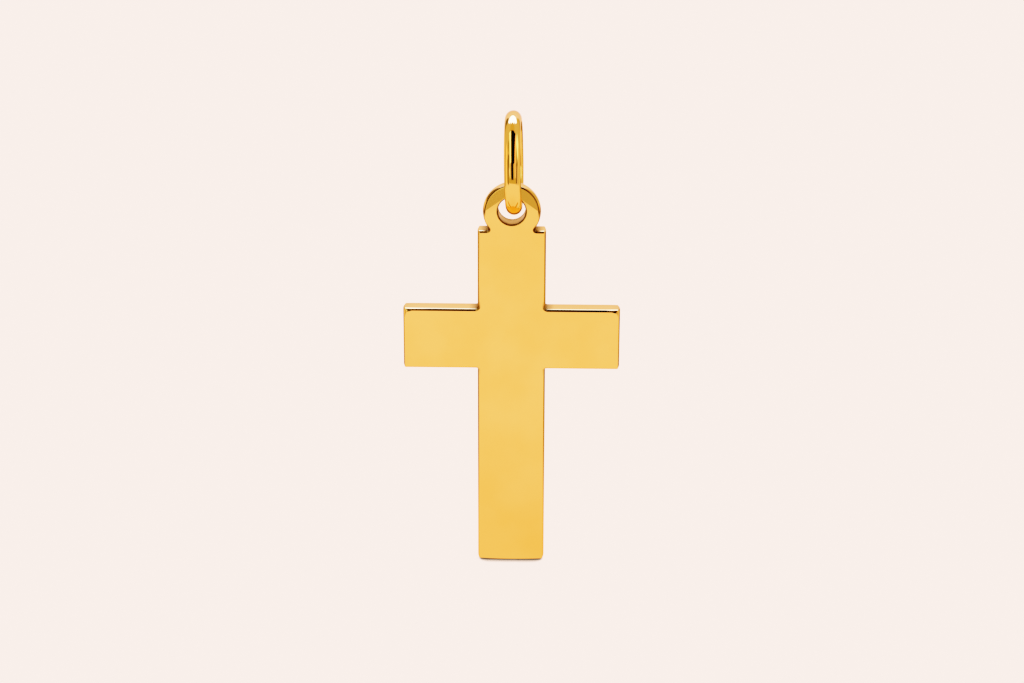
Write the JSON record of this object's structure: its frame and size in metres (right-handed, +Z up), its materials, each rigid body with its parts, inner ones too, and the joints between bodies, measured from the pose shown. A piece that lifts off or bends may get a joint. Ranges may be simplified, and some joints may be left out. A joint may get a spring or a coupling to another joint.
{
  "type": "cross pendant",
  "caption": "Flat polished cross pendant with a round eyelet at its top, hanging free on a round wire bail.",
  "frame": {"origin": "top of the bail's opening, where a chain carries the pendant", "axes": "+Z up, from the cross's foot towards the bail; the cross's front faces -Y; +X to the right of the front"},
  "size_m": [0.012, 0.0056, 0.0262],
  "materials": {
    "yellow_gold": "mirror-polished yellow gold with faint hand-polishing waves, hairlines and softly rounded edges"
  },
  "bodies": {
    "bail": {"bail": "yellow_gold"},
    "cross": {"cross": "yellow_gold"}
  },
  "joints": [
    {"name": "cross_swing", "type": "hinge", "parent": "bail", "child": "cross", "pos_m": [0, 0, -0.00453], "axis": [0, 1, 0], "range_deg": [-145, 145]}
  ]
}
